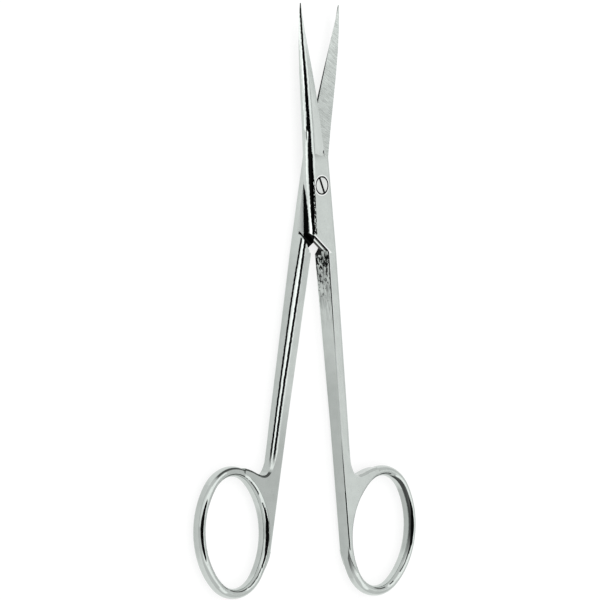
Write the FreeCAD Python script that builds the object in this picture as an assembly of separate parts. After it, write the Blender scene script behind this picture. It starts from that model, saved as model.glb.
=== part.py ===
import FreeCAD, Part
import math
import os

# Dental scissors, straight and sharp, 115 mm long, lying on their flat side.
# The origin is on the pivot axis at the underside, +Y runs to the points, +Z is up.
# Each half is drawn closed: pivot axis at the origin, point on +Y, shank and ring on +X,
# lap face at z = 0 and outer face up. The lower half is the same forging turned over.

V = FreeCAD.Vector

# Opening of the halves at rest, each side of the centre line, in degrees.
rest_half_angle = 8.9

# Blade, seen from above: two curves from the heel to the point.
tip_reach = 34.7
heel_y = 6.2
spine_heel = 2.60
spine_mid = 1.75
spine_fore = 2.25
edge_heel = 3.10
edge_mid = 2.89
edge_fore = 1.17
tip_width = 0.10

# Blade, seen in section: upright back, rounded crown, ground facet and honed edge.
plate_thickness = 1.86
mid_thickness = 1.40
fore_thickness = 1.10
tip_thickness = 0.26
back_heel = 0.80
back_tip = 0.14
crown_share_heel = 0.258
crown_share_tip = 0.52
hone_height = 0.28
hone_width = 0.12
hone_tip_height = 0.09

# Facet run-out in front of the joint.
runout_mid_x = 1.20
runout_mid_y = 5.35
runout_side_y = 4.80

# Lap plate of the joint.
lap_gap = 0.02
plate_side = 3.12
corner_x = 4.15
corner_y = -8.35
corner_back = 0.66
corner_crown = 1.40
corner_angle = 44.0

# Shoulder, where the other half's plate stops and the full thickness begins.
shoulder_side_y = -9.35
shoulder_bulge = 0.30
shoulder_inner_y = -13.40

# Shank.
shank_top_y = -13.0
shank_low_y = -46.0
shank_out_top = 3.20
shank_out_low = 3.06
inner_gap_top = 0.30
inner_gap_ring = 0.07
shank_low_half = 1.39
side_round_width = 1.17
side_round_share = 0.78
inner_ease = 0.17

# Flare of the shank into the ring, and the notch between them.
flare_y = -50.5
flare_out = 2.92
flare_lead = 3.80
notch_x = 4.75
notch_y = -56.20
notch_lead = 1.80

# Finger ring: an oval bar.
ring_x = 9.775
ring_y = -67.84
ring_semi_width = 8.82
ring_semi_length = 11.53
ring_tilt = -16.8
ring_end_radius = 7.10
bar_half_width = 1.00
bar_half_height = 1.30

# Flat web between shank and ring.
brow_lead = 1.60
brow_tail = 2.60
web_edge_ease = 0.42
web_foot_y = -68.5
web_fade_x = 1.75
web_fade_y = -74.6
web_fade_bulge = 0.50

# Pivot screw.
head_diameter = 3.20
head_height = 0.85
head_chamfer = 0.12
neck_diameter = 2.24
stud_diameter = 1.96
running_gap = 0.03
head_clearance = 0.20
stud_gap = 0.01
slot_width = 0.50
slot_depth = 0.42
slot_turn = 116.8

# Heights that follow from the sizes above.
lap_z = lap_gap / 2
face_z = lap_z + plate_thickness


def bezier(a, b, c, d, t):
    s = 1 - t
    return a * s ** 3 + 3 * b * s * s * t + 3 * c * s * t * t + d * t ** 3


def blend(a, b, t):
    return a + (b - a) * t


def line(a, b):
    return Part.LineSegment(a, b).toShape()


def quarter(a, corner, b):
    """Quarter of an ellipse from a to b, with its two tangents meeting at corner."""
    curve = Part.BezierCurve()
    curve.setPoles([a, corner, b])
    curve.setWeight(2, math.sqrt(0.5))
    return curve.toShape()


def prism(points, low, high):
    """Upright solid on a closed outline of points or edges."""
    if hasattr(points[0], "Curve"):
        wire = Part.Wire(points)
    else:
        wire = Part.makePolygon(list(points) + [points[0]])
    face = Part.Face(wire)
    face.translate(V(0, 0, low))
    return face.extrude(V(0, 0, high - low))


def inner_x(y):
    """The nearly straight inner side, which faces the other shank."""
    t = (y - shank_top_y) / (ring_y - shank_top_y)
    return blend(inner_gap_top, inner_gap_ring, t)


def half_height(y):
    """Half of the shank's thickness, which tapers down to the ring."""
    t = (shank_top_y - y) / (shank_top_y - shank_low_y)
    t = min(max(t, 0), 1)
    return blend(face_z, shank_low_half, t)


def spine_x(t):
    return -bezier(spine_heel, spine_mid, spine_fore, tip_width / 2, t)


def edge_x(t):
    return bezier(edge_heel, edge_mid, edge_fore, tip_width / 2, t)


def blade_profile(t):
    """Corner points of the blade section at the share t of the way to the point."""
    y = blend(heel_y, tip_reach, t)
    left = spine_x(t)
    right = edge_x(t)
    crown = lap_z + bezier(plate_thickness, mid_thickness, fore_thickness, tip_thickness, t)
    back = lap_z + blend(back_heel, back_tip, t)
    ridge = left + blend(crown_share_heel, crown_share_tip, t) * (right - left)
    hone = lap_z + blend(hone_height, hone_tip_height, t)
    hone_in = right - min(hone_width, (right - ridge) / 2)
    return y, left, right, crown, back, ridge, hone, hone_in


def blade_section(t):
    y, left, right, crown, back, ridge, hone, hone_in = blade_profile(t)
    a = V(left, y, lap_z)
    b = V(right, y, lap_z)
    c = V(hone_in, y, hone)
    d = V(ridge, y, crown)
    e = V(left, y, back)
    arc = quarter(d, V(left, y, crown), e)
    return Part.Wire([line(a, b), line(b, c), line(c, d), arc, line(e, a)])


def make_blade():
    stations = [0, 0.18, 0.36, 0.54, 0.71, 0.84, 0.93, 1]
    return Part.makeLoft([blade_section(t) for t in stations], True, True)


def make_facet_root():
    """The ground facet carried back under the run-out, into the plate."""
    y, left, right, crown, back, ridge, hone, hone_in = blade_profile(0)
    points = [V(ridge, y, lap_z), V(right, y, lap_z), V(hone_in, y, hone), V(ridge, y, crown)]
    face = Part.Face(Part.makePolygon(points + [points[0]]))
    return face.extrude(V(0, runout_side_y - 1.0 - heel_y, 0))


def plate_back_section(y, left, back, crown_width, right):
    a = V(left, y, lap_z)
    b = V(right, y, lap_z)
    c = V(right, y, face_z)
    d = V(left + crown_width, y, face_z)
    e = V(left, y, lap_z + back)
    arc = quarter(d, V(left, y, face_z), e)
    return Part.Wire([line(a, b), line(b, c), line(c, d), arc, line(e, a)])


def make_plate_back():
    """Left part of the lap plate, from the heel down past the corner."""
    heel = blade_profile(0)
    crown_width = heel[5] - heel[1]
    middle = plate_side / 2
    low_y = corner_y - 1.5
    sections = []
    for y in (heel_y, heel_y - 1.2, corner_y + 1.2, low_y):
        t = (heel_y - y) / (heel_y - corner_y)
        sections.append(plate_back_section(y, -blend(spine_heel, corner_x, t),
                                           blend(back_heel, corner_back, t),
                                           blend(crown_width, corner_crown, t), middle))
    back = Part.makeLoft(sections, True, True)
    tongue = prism([V(-corner_x, low_y, 0), V(middle, low_y, 0),
                    V(middle, shank_top_y - 2, 0), V(-corner_x, shank_top_y - 2, 0)],
                   lap_z, face_z)
    body = back.fuse(tongue)
    reach = 12.0
    angle = math.radians(corner_angle)
    step = V(math.cos(angle) * reach, -math.sin(angle) * reach, 0)
    corner = V(-corner_x, corner_y, 0)
    cut = prism([corner - step * 0.5, corner + step, corner + step + V(-20, -20, 0),
                 corner + V(-20, -5, 0)], lap_z - 1, face_z + 1)
    body = body.cut(cut)
    # The top edge of that cut is eased as well.
    outward = V(-math.sin(angle), -math.cos(angle), 0)
    sections = []
    for point in (corner - step * 0.1, corner + step):
        points = [point + outward * inner_ease + V(0, 0, face_z - 2 * inner_ease),
                  point + outward * inner_ease + V(0, 0, face_z + inner_ease),
                  point - outward * (2 * inner_ease) + V(0, 0, face_z + inner_ease)]
        sections.append(Part.makePolygon(points + [points[0]]))
    body = body.cut(Part.makeLoft(sections, True, True))
    # The inner side of the shank also bounds the plate below the corner.
    meet_y = corner_y - (corner_x + inner_x(corner_y)) * math.tan(angle)
    low_inner = prism([V(inner_x(meet_y), meet_y, 0), V(inner_x(-30), -30, 0), V(-20, -30, 0),
                       V(-20, meet_y, 0)], lap_z - 1, face_z + 1)
    return body.cut(low_inner)


def shank_section(y, out):
    """D-shaped section: flat inner side, flat faces, rounded outer side."""
    inner = inner_x(y)
    high = half_height(y)
    round_h = side_round_share * high
    a = V(inner, y, high)
    b = V(out - side_round_width, y, high)
    c = V(out, y, high - round_h)
    d = V(out, y, round_h - high)
    e = V(out - side_round_width, y, -high)
    f = V(inner, y, -high)
    top = quarter(b, V(out, y, high), c)
    low = quarter(d, V(out, y, -high), e)
    return Part.Wire([line(a, b), top, line(c, d), low, line(e, f), line(f, a)])


def make_shank():
    upper = []
    for y in (heel_y, runout_side_y - 0.6, shoulder_side_y + 0.6, shank_top_y):
        t = (heel_y - y) / (heel_y - shank_top_y)
        upper.append(shank_section(y, blend(plate_side, shank_out_top, t)))
    middle = [shank_section(shank_top_y, shank_out_top), shank_section(shank_low_y, shank_out_low)]
    lower = [shank_section(shank_low_y, shank_out_low), shank_section(flare_y, flare_out),
             shank_section(notch_y + web_edge_ease, flare_out)]
    parts = [Part.makeLoft(s, True, True) for s in (upper, middle, lower)]
    return parts[0].multiFuse(parts[1:])


def make_inner_ease(side):
    """Waste along the long inner edge on one face, side 1 for the outer face and -1 for the other."""
    sections = []
    ease = inner_ease
    for y in (shank_top_y + 0.4, shank_top_y, shank_low_y, web_foot_y - 1.5):
        x = inner_x(y)
        z = half_height(y)
        points = [V(x - ease, y, side * (z - 2 * ease)), V(x - ease, y, side * (z + ease)),
                  V(x + 2 * ease, y, side * (z + ease))]
        sections.append(Part.makePolygon(points + [points[0]]))
    return Part.makeLoft(sections, True, True)


def shoulder_curve(extend):
    """Plan curve of the shoulder from the outer side to the inner side, run on past both."""
    a = V(shank_out_top, shoulder_side_y, 0)
    b = V(inner_x(shank_top_y), shoulder_inner_y, 0)
    chord = b - a
    across = V(chord.y, -chord.x, 0).normalize()
    if across.y > 0:
        across = across * -1
    middle = (a + b) * 0.5 + across * shoulder_bulge
    before = a - (middle - a).normalize() * extend
    after = b + (b - middle).normalize() * extend
    return [line(before, a), Part.Arc(a, middle, b).toShape(), line(b, after)], before, after


def make_lap_recess():
    """Room for the other half's plate and blade, below the lap face."""
    edges, before, after = shoulder_curve(3.0)
    top_right = V(before.x, tip_reach, 0)
    top_left = V(after.x - 8, tip_reach, 0)
    low_left = V(after.x - 8, after.y, 0)
    outline = edges + [line(after, low_left), line(low_left, top_left),
                       line(top_left, top_right), line(top_right, before)]
    return prism(outline, -2 * face_z, lap_z)


def make_runout():
    """Room in front of the joint, above the facet, that ends in a curved run-out."""
    left = V(blade_profile(0)[5], heel_y, 0)
    middle = V(runout_mid_x, runout_mid_y, 0)
    side = V(plate_side + 1, runout_side_y, 0)
    far_right = V(plate_side + 1, heel_y + 3, 0)
    far_left = V(-spine_heel - 1, heel_y + 3, 0)
    near_left = V(-spine_heel - 1, heel_y, 0)
    outline = [Part.Arc(left, middle, side).toShape(), line(side, far_right),
               line(far_right, far_left), line(far_left, near_left), line(near_left, left)]
    return prism(outline, -2 * face_z, 2 * face_z)


def oval_arcs(semi_long, semi_wide, end_radius):
    """Oval of four tangent arcs, long along Y: centre, radius, first angle and turn of each."""
    shift_long = semi_long - end_radius
    side_radius = ((semi_long ** 2 + semi_wide ** 2 - 2 * semi_long * end_radius)
                   / (2 * (semi_wide - end_radius)))
    shift_wide = side_radius - semi_wide
    meet = math.degrees(math.atan2(shift_long, shift_wide))
    return [(V(0, shift_long, 0), end_radius, meet, 180 - 2 * meet),
            (V(shift_wide, 0, 0), side_radius, 180 - meet, 2 * meet),
            (V(0, -shift_long, 0), end_radius, 180 + meet, 180 - 2 * meet),
            (V(-shift_wide, 0, 0), side_radius, -meet, 2 * meet)]


def ring_arcs():
    """Centre line of the ring, tilted and in its place."""
    tilt = FreeCAD.Rotation(V(0, 0, 1), ring_tilt)
    centre = V(ring_x, ring_y, 0)
    arcs = oval_arcs(ring_semi_length, ring_semi_width, ring_end_radius)
    return [(tilt.multVec(c) + centre, r, first + ring_tilt, turn) for c, r, first, turn in arcs]


def direction(angle):
    return V(math.cos(math.radians(angle)), math.sin(math.radians(angle)), 0)


def arcs_face(arcs):
    edges = []
    for centre, radius, first, turn in arcs:
        ends = [centre + direction(first + turn * k) * radius for k in (0, 0.5, 1)]
        edges.append(Part.Arc(*ends).toShape())
    return Part.Face(Part.Wire(edges))


def make_ring():
    """Section of the bar, an upright ellipse, turned about the centre of each arc."""
    pieces = []
    for centre, radius, first, turn in ring_arcs():
        oval = Part.Ellipse(V(0, 0, 0), bar_half_height, bar_half_width).toShape()
        oval.rotate(V(0, 0, 0), V(0, 0, 1), 90)
        section = Part.Face(Part.Wire(oval))
        section.rotate(V(0, 0, 0), V(1, 0, 0), 90)
        section.rotate(V(0, 0, 0), V(0, 0, 1), first)
        section.translate(centre + direction(first) * radius)
        pieces.append(section.revolve(centre, V(0, 0, 1), turn))
    return pieces[0].multiFuse(pieces[1:])


def make_web():
    """Flat web between the shank's inner side and the ring's bar, fading out down the ring.

    Its outer side comes out of the rounded shank, turns through the notch and runs up the brow.
    """
    gap_top = V(inner_x(flare_y) - 1, flare_y, 0)
    gap_foot = V(inner_x(web_foot_y) - 1, web_foot_y, 0)
    foot = V(inner_x(web_foot_y), web_foot_y, 0)
    top_right = V(flare_out - side_round_width + web_edge_ease, flare_y, 0)
    notch = V(notch_x, notch_y, 0)
    crest = V(ring_x, ring_y + top_reach(bar_half_width) - 0.06, 0)
    flare = Part.BezierCurve()
    flare.setPoles([top_right, V(flare_out - 0.2, flare_y - flare_lead, 0),
                    notch - V(notch_lead, 0, 0), notch])
    brow = Part.BezierCurve()
    brow.setPoles([notch, notch + V(brow_lead, 0, 0), crest - V(brow_tail, 0, 0), crest])
    rim = [flare.toShape(), brow.toShape()]
    inside = V(ring_x, ring_y, 0)
    fade = V(web_fade_x, web_fade_y, 0)
    fade_mid = (foot + fade) * 0.5 - V(web_fade_bulge, 0, 0)
    outline = [line(gap_top, top_right)] + rim + [
               line(crest, inside), line(inside, fade),
               Part.Arc(fade, fade_mid, foot).toShape(), line(foot, gap_foot),
               line(gap_foot, gap_top)]
    solid = prism(outline, -shank_low_half, shank_low_half)
    edges = [e for e in solid.Edges if follows(e, top_right, notch) or follows(e, notch, crest)]
    solid = solid.makeChamfer(web_edge_ease, edges)
    hole = arcs_face(ring_arcs()).extrude(V(0, 0, 4 * face_z))
    hole.translate(V(0, 0, -2 * face_z))
    return solid.cut(hole)


def trim_to_gap(body):
    """The two rings meet flat to flat, so the bar is cut back along the inner side."""
    high_y = flare_y + 1
    low_y = ring_y - 2 * ring_semi_length
    beyond = prism([V(inner_x(high_y), high_y, 0), V(inner_x(low_y), low_y, 0),
                    V(-ring_semi_width, low_y, 0), V(-ring_semi_width, high_y, 0)],
                   -2 * face_z, 2 * face_z)
    return body.cut(beyond)


def follows(edge, start, end):
    """Whether a level edge runs from start to end, seen from above."""
    ends = sorted([v.Point for v in edge.Vertexes], key=lambda p: p.x)
    if len(ends) < 2 or abs(ends[0].z - ends[1].z) > 0.01:
        return False
    off = [V(p.x - q.x, p.y - q.y, 0).Length for p, q in zip(ends, (start, end))]
    return max(off) < 0.01


def top_reach(grow):
    """How far the oval reaches along Y from its centre."""
    tilt = math.radians(ring_tilt)
    across = (ring_semi_width + grow) * math.sin(tilt)
    along = (ring_semi_length + grow) * math.cos(tilt)
    return math.hypot(across, along)


def make_half():
    plate = make_plate_back().fuse(make_shank().cut(make_lap_recess()))
    plate = plate.cut(make_runout())
    grip = trim_to_gap(make_web().fuse(make_ring()))
    body = plate.multiFuse([make_facet_root(), make_blade(), grip]).removeSplitter()
    return body.cut(make_inner_ease(1)).cut(make_inner_ease(-1))


def cylinder(diameter, low, high):
    return Part.makeCylinder(diameter / 2, high - low, V(0, 0, low), V(0, 0, 1))


def make_upper(half):
    seat = face_z - head_height
    bore = cylinder(neck_diameter + 2 * running_gap, -2 * face_z, 2 * face_z)
    sink = cylinder(head_diameter + 2 * head_clearance, seat, 2 * face_z)
    body = half.cut(bore).cut(sink)
    body.rotate(V(0, 0, 0), V(0, 0, 1), rest_half_angle)
    return body


def make_lower(half):
    bore = cylinder(stud_diameter + 2 * stud_gap, -2 * face_z, 2 * face_z)
    body = half.cut(bore)
    body.rotate(V(0, 0, 0), V(0, 1, 0), 180)
    body.rotate(V(0, 0, 0), V(0, 0, 1), -rest_half_angle)
    return body


def make_screw():
    """Slotted head in the sunk seat, plain neck in the upper half, stud in the lower half."""
    seat = face_z - head_height + lap_gap
    head = head_diameter / 2
    neck = neck_diameter / 2
    stud = stud_diameter / 2
    points = [V(0, 0, -face_z), V(stud, 0, -face_z), V(stud, 0, -lap_z), V(neck, 0, -lap_z),
              V(neck, 0, seat), V(head, 0, seat), V(head, 0, face_z - head_chamfer),
              V(head - head_chamfer, 0, face_z), V(0, 0, face_z)]
    profile = Part.Face(Part.makePolygon(points + [points[0]]))
    body = profile.revolve(V(0, 0, 0), V(0, 0, 1), 360)
    slot = Part.makeBox(2 * head_diameter, slot_width, slot_depth + 1)
    slot.translate(V(-head_diameter, -slot_width / 2, face_z - slot_depth))
    slot.rotate(V(0, 0, 0), V(0, 0, 1), slot_turn)
    return body.cut(slot)


def save(name, shape):
    shape.translate(V(0, 0, face_z))
    solids = shape.Solids
    box = shape.BoundBox
    print(name, "solids", len(solids), "valid", shape.isValid(), "volume", round(shape.Volume, 3),
          "box", [round(v, 2) for v in (box.XMin, box.YMin, box.ZMin, box.XMax, box.YMax, box.ZMax)])
    if len(solids) == 1:
        shape = solids[0]
    shape.exportStep(os.path.join("parts", name + ".step"))


os.makedirs("parts", exist_ok=True)
half = make_half()
save("upper_half", make_upper(half.copy()))
save("lower_half", make_lower(half.copy()))
save("pivot_screw", make_screw())
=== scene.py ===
import math

import bpy
from mathutils import Matrix, Vector

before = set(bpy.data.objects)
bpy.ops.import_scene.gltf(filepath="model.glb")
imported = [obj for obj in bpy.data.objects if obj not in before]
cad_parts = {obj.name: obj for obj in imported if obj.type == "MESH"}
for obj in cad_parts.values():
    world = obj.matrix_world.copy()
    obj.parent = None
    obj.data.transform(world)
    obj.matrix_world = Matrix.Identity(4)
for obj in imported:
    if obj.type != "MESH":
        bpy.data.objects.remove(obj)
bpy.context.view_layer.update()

# Half of the opening angle at rest, in degrees, and lengths of the halves in mm.
REST_ANGLE = 8.9
LAP_Z = 1.87
RING_PLACE = (20.153, -65.511)
CORNER_PLACE = (-4.15, -8.35)
HEEL_Y = 6.2
TIP_Y = 34.7
# Distances of the cutting edge from the centre line: heel, two control points, point.
EDGE_WIDTHS = (3.10, 2.89, 1.17, 0.05)

# A step across the rounded sides counts for this share of a step up.
ACROSS_SHARE = 0.943

MM = 1000.0
DEGREES = math.degrees(1.0)


class Nodes:
    """Small helper that adds shader nodes and joins them."""

    def __init__(self, tree):
        self.tree = tree
        tree.nodes.clear()

    def add(self, kind, **values):
        node = self.tree.nodes.new(kind)
        for key, value in values.items():
            setattr(node, key, value)
        return node

    def put(self, socket, value):
        if isinstance(value, bpy.types.NodeSocket):
            self.tree.links.new(value, socket)
        else:
            socket.default_value = value

    def math(self, operation, *values, clamp=False):
        node = self.add("ShaderNodeMath", operation=operation, use_clamp=clamp)
        for socket, value in zip(node.inputs, values):
            self.put(socket, value)
        return node.outputs[0]

    def chain(self, operation, values):
        total = values[0]
        for value in values[1:]:
            total = self.math(operation, total, value)
        return total

    def times(self, *values):
        return self.chain("MULTIPLY", values)

    def plus(self, *values):
        return self.chain("ADD", values)

    def most(self, *values):
        return self.chain("MAXIMUM", values)

    def minus(self, a, b):
        return self.math("SUBTRACT", a, b)

    def size(self, value):
        return self.math("ABSOLUTE", value)

    def length(self, a, b):
        return self.math("SQRT", self.plus(self.times(a, a), self.times(b, b)))

    def along(self, a, b, angle):
        """Distance along a direction at the angle, in degrees, from the first axis to the second."""
        angle = math.radians(angle)
        return self.plus(self.times(a, math.cos(angle)), self.times(b, math.sin(angle)))

    def turned(self, a, b):
        """Angle in degrees, by its opposite and adjacent side."""
        return self.times(self.math("ARCTAN2", a, b), DEGREES)

    def linear(self, value, low, high, start=0.0, end=1.0, kind="LINEAR"):
        node = self.add("ShaderNodeMapRange", interpolation_type=kind)
        for name, v in (("Value", value), ("From Min", low), ("From Max", high),
                        ("To Min", start), ("To Max", end)):
            self.put(node.inputs[name], v)
        return node.outputs[0]

    def ramp(self, value, low, high, start=0.0, end=1.0):
        """Smooth step from start to end as value goes from low to high."""
        return self.linear(value, low, high, start, end, "SMOOTHSTEP")

    def fade(self, value, low, high):
        """Smooth step from 1 down to 0 as value goes from low to high."""
        return self.ramp(value, low, high, 1.0, 0.0)

    def window(self, value, low, full, less, high):
        """1 from full to less, and 0 under low and over high."""
        return self.times(self.ramp(value, low, full), self.fade(value, less, high))

    def mix(self, share, a, b):
        node = self.add("ShaderNodeMix", data_type="FLOAT")
        for socket, value in zip((node.inputs[0], node.inputs[2], node.inputs[3]), (share, a, b)):
            self.put(socket, value)
        return node.outputs[0]

    def noise(self, vector, scale, detail, rough):
        node = self.add("ShaderNodeTexNoise")
        self.put(node.inputs["Vector"], self.mapping(vector, scale=scale))
        node.inputs["Scale"].default_value = 1.0
        node.inputs["Detail"].default_value = detail
        node.inputs["Roughness"].default_value = rough
        return node.outputs["Fac"]

    def curve(self, value, points):
        """Straight pieces through (place, value) points, in the order of their places."""
        node = self.add("ShaderNodeFloatCurve")
        low, high = points[0][0], points[-1][0]
        self.put(node.inputs["Value"], self.linear(value, low, high))
        bottom = min(v for _, v in points)
        span = max(v for _, v in points) - bottom
        line = node.mapping.curves[0].points
        while len(line) < len(points):
            line.new(0.5, 0.5)
        for knot, (place, v) in zip(line, points):
            knot.location = ((place - low) / (high - low), (v - bottom) / span)
            knot.handle_type = "VECTOR"
        node.mapping.update()
        return self.linear(node.outputs[0], 0.0, 1.0, bottom, bottom + span)

    def mapping(self, vector, scale=(1, 1, 1), turn=0.0):
        node = self.add("ShaderNodeMapping")
        self.put(node.inputs["Vector"], vector)
        node.inputs["Rotation"].default_value = (0, 0, math.radians(turn))
        node.inputs["Scale"].default_value = scale
        return node.outputs[0]

    def split(self, vector, scale=None):
        node = self.add("ShaderNodeSeparateXYZ")
        self.put(node.inputs[0], vector)
        if scale is None:
            return node.outputs
        return [self.times(part, scale) for part in node.outputs]

    def bump(self, height, strength, distance, normal=None):
        node = self.add("ShaderNodeBump")
        node.inputs["Strength"].default_value = strength
        node.inputs["Distance"].default_value = distance
        self.put(node.inputs["Height"], height)
        if normal is not None:
            self.put(node.inputs["Normal"], normal)
        return node.outputs[0]


class Half:
    """Places, in mm, and slopes on one half, by which the finish of its steel is laid out.

    turn lays its length along Y. flip is 1 on the upper half and -1 on the lower one, which is
    the same shape turned over, so across, rise and side mean the same on both.
    """

    def __init__(self, nodes, turn, flip):
        n = self.n = nodes
        self.flip = flip
        source = n.add("ShaderNodeTexCoord")
        self.place = source.outputs["Object"]
        self.normal = source.outputs["Normal"]
        self.own = n.mapping(self.place, turn=turn)
        x, self.y, z = n.split(self.own, MM)
        facing_x, self.ahead, self.up = n.split(n.mapping(self.normal, turn=turn))
        self.side = n.times(facing_x, flip)
        self.level = n.size(self.up)
        self.across = n.times(x, flip)
        self.rise = n.times(n.minus(z, LAP_Z), flip)
        self.radius = n.length(x, self.y)
        self.wobble = n.linear(self.noise((900, 1900, 900), 2.0, 0.5), 0.3, 0.7, -0.06, 0.06)
        self.mark_faces()
        self.mark_back()

    def noise(self, scale, detail, rough):
        return self.n.noise(self.own, scale, detail, rough)

    def mark_faces(self):
        """Flat faces, the ground facet, the two parts of the lap and the walls."""
        n = self.n
        self.flat = n.ramp(self.level, 0.965, 0.99)
        self.upright = n.fade(self.level, 0.3, 0.4)
        self.blade = n.ramp(self.y, 4.5, 6.5)
        self.facet = n.times(self.blade, n.ramp(self.side, 0.02, 0.08))
        lap = n.times(n.fade(n.size(self.rise), 0.04, 0.08), self.flat)
        self.lap_blade = n.times(lap, self.blade)
        self.lap_plate = n.minus(lap, self.lap_blade)
        self.satin = n.most(n.minus(self.flat, self.lap_plate), self.facet)
        self.wall = n.times(n.fade(self.side, -0.9, -0.8), n.ramp(self.y, -11.5, -12.5))
        self.joint = n.ramp(self.y, -14.5, -14.0)
        self.corner = n.times(n.fade(self.side, -0.6, -0.5), n.fade(self.ahead, -0.6, -0.5),
                              self.joint, self.upright)

    def mark_back(self):
        """The rounded back and plate side, and where the painted dark reflection band on it starts and
        stops.
        """
        n = self.n
        self.climb = n.plus(n.times(self.across, ACROSS_SHARE), self.rise, self.wobble)
        start = n.curve(self.y, [
            (-9.5, -1.50), (-8.0, -1.60), (-5.9, -1.70), (-3.85, -1.65), (-1.8, -1.55),
            (0.5, -1.50), (2.55, -1.43), (4.6, -1.28), (6.7, -1.10), (8.75, -0.87),
            (10.4, -0.62), (10.9, -0.98), (11.6, -0.96), (13.3, -0.80), (15.4, -0.75),
            (17.6, -0.68), (21.8, -0.55), (25.9, -0.48), (30.0, -0.41), (33.2, -0.30), (35.5, -0.40)])
        stop = n.curve(self.y, [
            (-9.5, -0.36), (-8.2, -0.32), (-6.1, -0.20), (-4.0, -0.08), (-1.9, 0.02), (0.4, 0.07),
            (2.4, 0.04), (4.5, 0.02), (6.6, 0.04), (8.7, 0.07), (10.4, 0.17), (13.2, 0.16),
            (17.5, 0.22), (21.7, 0.26), (25.9, 0.17), (29.9, 0.14), (33.2, 0.20), (35.5, 0.30)])
        self.from_start = n.minus(self.climb, start)
        self.to_stop = n.minus(stop, self.climb)
        self.back = n.times(n.fade(self.side, 0.03, 0.06), n.ramp(self.rise, 0.03, 0.06),
                            n.ramp(self.y, -9.2, -8.8))


def joint_shade(n, half):
    """The slanting corner, the shoulder, and the floor of the lap and its brink."""
    y, rise, across = half.y, half.rise, half.across
    corner_low = n.times(half.corner, n.fade(rise, 0.7, 0.8))
    corner_high = n.times(half.corner, n.ramp(rise, 1.3, 1.4))
    eased = n.fade(n.size(n.minus(half.level, math.sqrt(0.5))), 0.1, 0.15)
    corner_ease = n.times(n.fade(half.side, -0.4, -0.3), n.fade(half.ahead, -0.4, -0.3),
                          eased, half.joint)
    shoulder = n.times(n.fade(half.side, -0.6, -0.5), n.ramp(half.ahead, 0.3, 0.4), half.upright,
                       n.ramp(y, -8.0, -8.5), half.joint)
    lap_floor = n.times(half.lap_plate, n.ramp(y, -8.7, -9.0), n.fade(across, 1.2, 1.4))
    brink = n.times(n.window(n.along(across, y, -27.2), 6.96, 7.04, 7.32, 7.40),
                    n.fade(rise, -0.5, -0.4), n.window(y, -11.8, -11.4, -8.8, -8.4))
    return n.most(corner_low, corner_high, corner_ease, shoulder, lap_floor, brink)


def wall_blotches(n, half):
    """Blotchy dark patches on the inner wall under the joint."""
    spread = n.curve(half.y, [(-34, -0.30), (-24, -0.20), (-20, -0.09), (-17, 0.02), (-14, 0.05),
                              (-13.3, 0.02), (-12.9, -0.10), (-11, -0.10)])
    speckle = half.noise((2300, 1300, 2300), 4.0, 0.65)
    return n.times(n.ramp(n.plus(speckle, spread), 0.49, 0.57), half.wall)


def back_reflection_band(n, half):
    """Painted dark reflection band along the rounded back, mottled on its far margin at the joint."""
    margin = n.linear(half.y, -8.0, 10.0, 0.68, 0.0)
    mottle = n.fade(half.noise((3600, 2100, 3600), 3.0, 0.6), 0.54, 0.60)
    solid = n.mix(n.math("LESS_THAN", half.to_stop, margin), 1.0, mottle)
    return n.times(n.ramp(half.from_start, 0.0, 0.05), n.ramp(half.to_stop, 0.0, 0.05),
                   solid, half.back)


def heel_reflection_line(n, half):
    """Short painted dark reflection line beside the band at the heel of the blade."""
    middle = n.linear(half.y, 8.5, 11.7, -1.24, -0.95)
    off = n.size(n.minus(half.climb, middle))
    return n.times(n.fade(off, 0.08, 0.12), half.back, n.window(half.y, 8.6, 9.4, 11.4, 11.8))


def side_reflection_wedge(n, half):
    """Painted dark reflection, a wedge on the lower part of the plate's side wall."""
    top = n.curve(half.y, [(-9.5, 1.30), (-5.2, 1.25), (-2.3, 0.95), (-0.6, 0.60), (0.5, 0.22),
                           (1.2, 0.0), (1.5, 0.0)])
    below = n.minus(top, n.plus(half.rise, half.wobble))
    return n.times(n.ramp(below, 0.0, 0.06), n.fade(half.side, -0.8, -0.7), half.back,
                   n.fade(half.y, 1.1, 1.3))


def runout_shade_spots(n, half):
    """Two small spots of painted shade where the wheel ran out on the face."""
    marks = []
    for x, y, reach in ((2.86, 6.00, 0.42), (2.98, 5.38, 0.30)):
        away = n.length(n.minus(half.across, x), n.minus(half.y, y))
        marks.append(n.fade(n.plus(away, half.wobble), reach * 0.8, reach))
    return n.times(n.most(*marks), n.ramp(half.rise, 0.1, 0.2))


def shank_ease_reflection(n, half):
    """Painted dark reflection on the eased edge between the top and the inner wall of the shank."""
    depth = n.curve(half.y, [(-75, 0.0), (-73, 0.6), (-70, 0.9), (-54, 0.85), (-48, 0.45),
                             (-32, 0.45), (-24, 0.9), (-11, 1.0)])
    return n.times(n.fade(half.side, -0.4, -0.3), n.window(half.level, 0.35, 0.45, 0.90, 0.95),
                   n.ramp(half.rise, 0.5, 0.7), n.ramp(half.y, -12.0, -12.6), depth)


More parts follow.
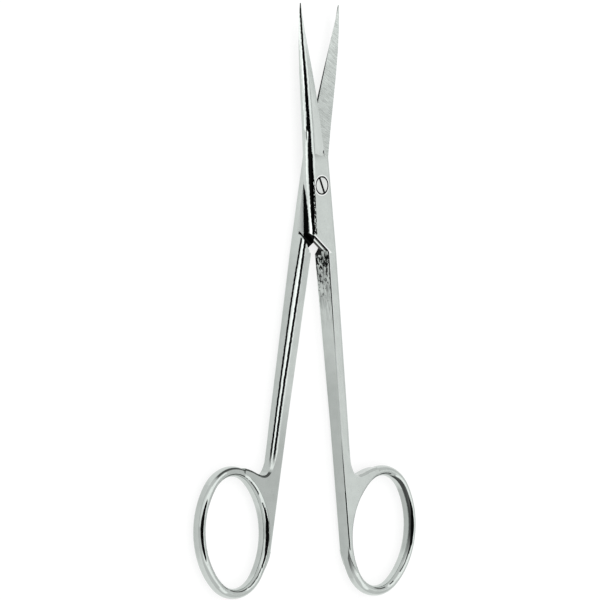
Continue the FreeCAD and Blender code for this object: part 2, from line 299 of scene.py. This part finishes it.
def shank_reflection_lines(n, half):
    """Two painted dark reflection lines along the rounded shank on its other side, and a painted
    highlight between them.
    """
    climb = n.plus(n.times(half.across, -ACROSS_SHARE), n.times(half.rise, -1.0), half.wobble)
    first = n.curve(half.y, [(-60, -2.0), (-49.6, -2.05), (-38, -2.1), (-29, -2.1),
                             (-22.1, -2.05), (-17.5, -1.88), (-12.9, -1.68), (-10, -1.55)])
    second = n.curve(half.y, [(-60, -1.1), (-49.6, -1.14), (-42.8, -1.12), (-38.2, -1.08),
                              (-33.6, -0.93), (-29, -0.84), (-24.4, -0.72), (-19.8, -0.60),
                              (-12.9, -0.56), (-10, -0.50)])
    where = n.times(n.fade(half.rise, -0.10, -0.05), n.ramp(half.side, 0.02, 0.06),
                    n.window(half.y, -54.5, -51.5, -10.8, -10.4))
    lines = [n.fade(n.size(n.minus(climb, middle)), width * 0.8, width * 1.12)
             for middle, width in ((first, 0.26), (second, 0.32))]
    gleam = n.times(n.ramp(n.minus(climb, first), 0.1, 0.25), n.ramp(n.minus(second, climb), 0.1, 0.25))
    return n.times(n.most(*lines), where), n.times(gleam, where)


def ring_reflection_streaks(n, half):
    """Painted dark reflection streaks, lens-shaped, on the ring's two long bars, by the slope of the
    bar.
    """
    middle, half_width, half_length = 33.0, 20.0, 0.26
    x, y, z = n.split(half.normal)
    lean = n.size(n.minus(n.turned(n.times(x, -1.0), z), middle))
    share = n.times(y, 1.0 / half_length)
    ragged = n.linear(half.noise((1500, 500, 1500), 2.0, 0.5), 0.3, 0.7, -0.12, 0.12)
    lens = n.plus(n.times(lean, 1.0 / half_width), n.times(share, share), ragged)
    return n.times(n.fade(lens, 0.92, 1.02), n.fade(half.y, -59.0, -57.5), n.minus(1.0, half.flat))


def ring_rim_reflection(n, half):
    """Thin broken painted dark reflection line round the inner side of the ring's crest."""
    middle, ragged, strength = 34.0, 6.0, 0.9
    place_x, place_y, _ = n.split(half.place, MM)
    x, y, z = n.split(half.normal)
    to_x = n.minus(RING_PLACE[0] * half.flip, place_x)
    to_y = n.minus(RING_PLACE[1], place_y)
    inwards = n.math("DIVIDE", n.plus(n.times(x, to_x), n.times(y, to_y)), n.length(to_x, to_y))
    breakup = n.noise(half.place, (260, 260, 0), 3.0, 0.6)
    slant = n.plus(n.turned(inwards, z), n.linear(breakup, 0.3, 0.7, -ragged, ragged))
    return n.times(n.fade(n.size(n.minus(slant, middle)), 5.5, 7.5), n.ramp(breakup, 0.42, 0.48),
                   n.fade(half.y, -56.0, -55.0), strength)


def notch_shade(n, half):
    """Shade in the notch above the ring, on the side away from the lap."""
    strength = 0.85
    return n.times(n.ramp(half.ahead, 0.3, 0.4), n.window(half.level, 0.5, 0.6, 0.8, 0.9),
                   n.fade(half.rise, -0.7, -0.5), n.ramp(half.y, -59.0, -58.0), strength)


def honed_edge_reflection(n, half):
    """Painted dark reflection on the honed side of the cutting edge, which faces sideways and down."""
    under = n.times(n.fade(half.up, -0.34, -0.2), n.ramp(half.up, -0.97, -0.9))
    return n.times(half.blade, under, n.ramp(half.side, 0.5, 0.7))


def edge_reflection_line(n, half):
    """Painted dark reflection line along the cutting edge on the lap face."""
    heel, heel_pull, tip_pull, tip = EDGE_WIDTHS
    t = n.linear(half.y, HEEL_Y, TIP_Y)
    s = n.minus(1.0, t)
    width = n.plus(n.times(s, s, n.plus(n.times(s, heel), n.times(t, 3 * heel_pull))),
                   n.times(t, t, n.plus(n.times(s, 3 * tip_pull), n.times(t, tip))))
    line_width = n.linear(half.y, 16.0, 26.5, 0.34, 0.10)
    line = n.math("LESS_THAN", n.minus(width, half.across), line_width)
    return n.times(line, half.lap_blade, n.window(half.y, 14.0, 14.6, 22.0, 28.0))


def painted_highlights(n, half):
    """Painted highlights: bright lines along the shank's inner edge, the corner, the screw seat and the
    band.
    """
    y, flat = half.y, half.flat
    shank = n.ramp(y, -12.4, -13.0)
    past_edge = n.minus(half.across, n.linear(y, -67.84, -13.0, 0.07, 0.30))
    on_face = n.times(flat, n.fade(past_edge, 0.22, 0.30))
    drop = n.minus(n.linear(y, -46.0, -13.0, 1.39, 1.87), n.size(half.rise))
    on_wall = n.times(n.fade(half.side, -0.9, -0.8), n.fade(drop, 0.20, 0.28))
    strength = n.curve(y, [(-75, 0.5), (-56, 0.6), (-50, 0.15), (-30, 0.15), (-24, 0.9), (-11, 1.0)])
    shank_line = n.times(n.most(on_face, on_wall), shank, strength)
    corner_x, corner_y = CORNER_PLACE
    inward = n.along(n.minus(half.across, corner_x), n.minus(y, corner_y), 46.0)
    corner_line = n.times(flat, n.ramp(y, -7.0, -8.5), n.fade(inward, 0.34, 0.44),
                          n.ramp(y, -13.2, -12.8))
    corner_low = n.times(half.corner, n.window(half.rise, 0.8, 0.9, 1.1, 1.2))
    seat_line = n.times(n.window(half.radius, 1.78, 1.80, 1.94, 2.02), flat)
    back_line = n.times(n.window(half.from_start, -0.60, -0.52, -0.05, 0.0), half.back)
    return n.most(shank_line, corner_line, corner_low, seat_line, back_line)


def steel_tone(n, half, wheel, shine, dark):
    """Brightness of the steel: cloudy and flecked, by face and by place along the half, with painted
    highlights and painted shade laid over it.
    """
    y, satin, lap_blade, wall = half.y, half.satin, half.lap_blade, half.wall
    fleck = half.noise((5200, 5200, 5200), 2.0, 0.5)
    low_flat = n.times(half.flat, n.fade(half.rise, -0.8, -0.5))
    low_tone = n.curve(y, [(-80, 0.85), (-60, 0.74), (-50, 0.76), (-40, 0.96), (-26, 0.95),
                           (-18, 0.88), (-10, 0.88), (0, 1.0)])
    wall_tone = n.curve(y, [(-80, 0.78), (-60, 0.74), (-39, 0.72), (-29, 0.90), (-20, 0.95), (0, 0.95)])
    # Painted darker reflection on the back past the dark band.
    past_band = n.times(n.fade(half.to_stop, -0.48, -0.40), half.back, half.blade)
    outer = n.times(n.ramp(half.side, 0.8, 0.9), n.fade(y, -20.0, -6.0))
    dusk = n.times(wall, n.ramp(y, -30.0, -18.0))
    drawn = half.noise((2800, 480, 2800), 4.0, 0.65)
    tone = n.linear(half.noise((420, 420, 420), 3.0, 0.55), 0.3, 0.7, 0.955, 1.04)
    for mask, share in (
            (satin, n.linear(fleck, 0.3, 0.7, 0.95, 1.04)),
            (satin, 1.14),
            (half.facet, 1.07),
            (lap_blade, n.linear(wheel, 0.3, 0.7, 0.80, 1.05)),
            (lap_blade, n.linear(y, 14.0, 32.0, 0.95, 1.15)),
            (low_flat, low_tone),
            (past_band, 0.62),
            (wall, wall_tone),
            (outer, 0.84),
            (dusk, n.linear(drawn, 0.35, 0.65, 0.42, 1.08)),
            # Painted highlights go brighter; painted shade, painted dark reflections and the inner
            # wall's blotches go near black.
            (shine, 1.6),
            (dark, 0.005)):
        tone = n.times(tone, n.mix(mask, 1.0, share))
    return tone


def new_nodes(block):
    block.use_nodes = True
    return Nodes(block.node_tree)


def tint(n, tone, shares, clamp):
    colour = n.add("ShaderNodeCombineColor")
    for socket, share in zip(colour.inputs, shares):
        n.put(socket, n.math("MULTIPLY", tone, share, clamp=clamp))
    return colour.outputs[0]


def steel(name, turn, flip):
    """Ground and polished steel of one half."""
    material = bpy.data.materials.new(name)
    n = new_nodes(material)
    half = Half(n, turn, flip)
    # Fine lengthwise grain, waviness of hand polishing and wheel marks across the blade's lap.
    grain = half.noise((9000, 500, 9000), 3.0, 0.6)
    ripple = half.noise((900, 300, 900), 2.0, 0.5)
    wheel = n.noise(n.mapping(half.own, turn=17.0), (700, 5600, 700), 2.5, 0.55)
    # Painted shade in the gap round the screw head.
    seat_shade = n.fade(half.radius, 1.72, 1.78)
    lines, gleam = shank_reflection_lines(n, half)
    # Painted shade and painted dark reflections, and the blotches on the inner wall.
    dark = n.most(seat_shade, joint_shade(n, half), wall_blotches(n, half), back_reflection_band(n, half),
                  heel_reflection_line(n, half), side_reflection_wedge(n, half), runout_shade_spots(n, half),
                  shank_ease_reflection(n, half), lines, ring_reflection_streaks(n, half), ring_rim_reflection(n, half),
                  notch_shade(n, half), honed_edge_reflection(n, half), edge_reflection_line(n, half))
    # Painted highlights.
    shine = n.most(painted_highlights(n, half), n.times(gleam, 0.6))
    tone = steel_tone(n, half, wheel, shine, dark)
    rough = n.mix(half.satin, 0.07, 0.30)
    rough = n.mix(half.lap_blade, rough, n.linear(wheel, 0.35, 0.65, 0.24, 0.40))
    rough = n.plus(rough, n.linear(grain, 0.3, 0.7, -0.03, 0.03))
    # The lap of the plate is dull, so it mirrors little of the wall above it.
    dull = n.times(half.lap_plate, n.ramp(half.y, 4.5, 4.0), n.minus(1.0, dark))
    normal = n.bump(grain, 0.10, 0.00002)
    normal = n.bump(n.times(wheel, half.lap_blade), 0.5, 0.00002, normal)
    normal = n.bump(ripple, 0.25, 0.00003, normal)
    shader = n.add("ShaderNodeBsdfPrincipled")
    n.put(shader.inputs["Base Color"], tint(n, tone, (0.560, 0.598, 0.575), True))
    n.put(shader.inputs["Metallic"], n.mix(dull, 1.0, 0.1))
    n.put(shader.inputs["Roughness"], n.mix(dull, rough, 0.5))
    n.put(shader.inputs["Normal"], normal)
    n.put(n.add("ShaderNodeOutputMaterial").inputs["Surface"], shader.outputs[0])
    return material


def screw_steel():
    """Bright turned steel, with painted shade in the slot and round the head."""
    head_radius, top_z, turnings = 1.5, 3.64, 60.0
    material = bpy.data.materials.new("screw_steel")
    n = new_nodes(material)
    own = n.add("ShaderNodeTexCoord").outputs["Object"]
    x, y, z = n.split(own, MM)
    radius = n.length(x, y)
    turning = n.noise(own, (300, 300, 300), 2.0, 0.5)
    lathe = n.math("SINE", n.times(n.plus(radius, n.times(turning, 0.1)), turnings))
    top = n.times(n.ramp(z, top_z - 0.02, top_z + 0.02),
                  n.fade(radius, head_radius - 0.03, head_radius + 0.02))
    # Painted shade: all but the flat top of the head is drawn near black.
    tone = n.times(n.mix(top, 0.03, 1.0), n.linear(turning, 0.3, 0.7, 0.93, 1.03))
    shader = n.add("ShaderNodeBsdfPrincipled")
    shader.inputs["Metallic"].default_value = 1.0
    n.put(shader.inputs["Base Color"], tint(n, tone, (0.90, 0.93, 0.91), False))
    n.put(shader.inputs["Roughness"], n.linear(turning, 0.3, 0.7, 0.14, 0.2))
    n.put(shader.inputs["Normal"], n.bump(lathe, 0.08, 0.000005))
    n.put(n.add("ShaderNodeOutputMaterial").inputs["Surface"], shader.outputs[0])
    return material


def dress(node, material):
    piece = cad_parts[node]
    piece.data.materials.clear()
    piece.data.materials.append(material)


def make_camera():
    """Camera that looks at the joint from the left, well off straight down."""
    tilt_left = math.radians(46.686)
    tilt_down = math.radians(1.641)
    roll = math.radians(-0.423)
    turn = math.radians(1.518)
    pixels_per_mm = 5.177
    distance = 1.495116
    picture_width = 600
    picture_centre = Vector((300, 300))
    # Where the pivot shows in the picture, and the length that the values above were fitted for.
    pivot_pixel = Vector((314.8, 185.292))
    scale = 115 / 117.5
    back = Vector((-math.sin(tilt_left) * math.cos(tilt_down), math.sin(tilt_down),
                   math.cos(tilt_left) * math.cos(tilt_down)))
    up = (Vector((0, 1, 0)) - back * back.y).normalized()
    right = up.cross(back)
    up, right = (up * math.cos(roll) + right * math.sin(roll),
                 right * math.cos(roll) - up * math.sin(roll))
    shift = (pivot_pixel - picture_centre) / pixels_per_mm / MM
    turned = Matrix.Rotation(turn, 3, "Z")
    spot = turned @ ((back * distance - right * shift.x + up * shift.y) * scale)
    spot += Vector((0, 0, LAP_Z / MM))
    axes = Matrix((turned @ right, turned @ up, turned @ back)).transposed()
    lens = bpy.data.cameras.new("camera")
    lens.sensor_fit = "HORIZONTAL"
    lens.sensor_width = 36.0
    lens.lens = pixels_per_mm * distance * MM * lens.sensor_width / picture_width
    lens.clip_start = 0.05
    lens.clip_end = 20.0
    camera = bpy.data.objects.new("camera", lens)
    camera.matrix_world = Matrix.Translation(spot) @ axes.to_4x4()
    bpy.context.scene.collection.objects.link(camera)
    bpy.context.scene.camera = camera


def make_floor():
    """Plain pale floor just under the scissors. Seen directly or mirrored it is near white."""
    half, drop, grey, glow_level = 1.6, 0.00002, 0.28, 0.76
    mesh = bpy.data.meshes.new("floor")
    mesh.from_pydata([(-half, -half, 0), (half, -half, 0), (half, half, 0), (-half, half, 0)], [],
                     [(0, 1, 2, 3)])
    floor = bpy.data.objects.new("floor", mesh)
    floor.location.z = -drop
    bpy.context.scene.collection.objects.link(floor)
    material = bpy.data.materials.new("floor")
    n = new_nodes(material)
    paper = n.add("ShaderNodeBsdfDiffuse")
    paper.inputs["Color"].default_value = (grey, grey, grey, 1)
    glow = n.add("ShaderNodeEmission")
    path = n.add("ShaderNodeLightPath")
    seen = n.most(path.outputs["Is Camera Ray"], path.outputs["Is Glossy Ray"])
    n.put(glow.inputs["Strength"], n.times(seen, glow_level))
    both = n.add("ShaderNodeAddShader")
    n.put(both.inputs[0], paper.outputs[0])
    n.put(both.inputs[1], glow.outputs[0])
    n.put(n.add("ShaderNodeOutputMaterial").inputs["Surface"], both.outputs[0])
    mesh.materials.append(material)


def make_world():
    """Soft studio: pale walls, a lamp overhead, a panel low at the side and a dark gap between."""
    lamp_level, wall_level, gap_level = 1.7, 1.0, 0.01
    world = bpy.data.worlds.new("studio")
    bpy.context.scene.world = world
    n = new_nodes(world)
    x, y, z = n.split(n.add("ShaderNodeTexCoord").outputs["Generated"])
    # Angle round the Y axis, 0 at the -X horizon and 90 overhead, and the angle off that plane.
    polar = n.turned(z, n.times(x, -1.0))
    along = n.times(n.math("ARCSINE", y), DEGREES)

    def band(value, a, b, soft):
        return n.window(value, a - soft, a + soft, b - soft, b + soft)

    lamp = n.times(band(polar, 104, 128, 2), band(along, -60, 60, 12))
    panel = n.times(band(polar, 8, 104, 2.5), band(along, -40, 40, 6),
                    n.most(band(polar, 42, 104, 2.5), n.ramp(along, 1, 3, 0.0, 0.55)))
    gap = n.times(band(polar, 78, 104, 2.5), band(along, -16, 0.3, 0.7))
    level = n.mix(lamp, wall_level, lamp_level)
    level = n.mix(panel, level, lamp_level)
    level = n.mix(gap, level, gap_level)
    path = n.add("ShaderNodeLightPath")
    sky = n.add("ShaderNodeBackground")
    n.put(sky.inputs["Strength"], n.mix(path.outputs["Is Camera Ray"], level, 1.0))
    n.put(n.add("ShaderNodeOutputWorld").inputs["Surface"], sky.outputs[0])


dress("upper_half", steel("upper_steel", -REST_ANGLE, 1.0))
dress("lower_half", steel("lower_steel", REST_ANGLE, -1.0))
dress("pivot_screw", screw_steel())
make_camera()
make_floor()
make_world()
bpy.context.scene.view_settings.view_transform = "Standard"
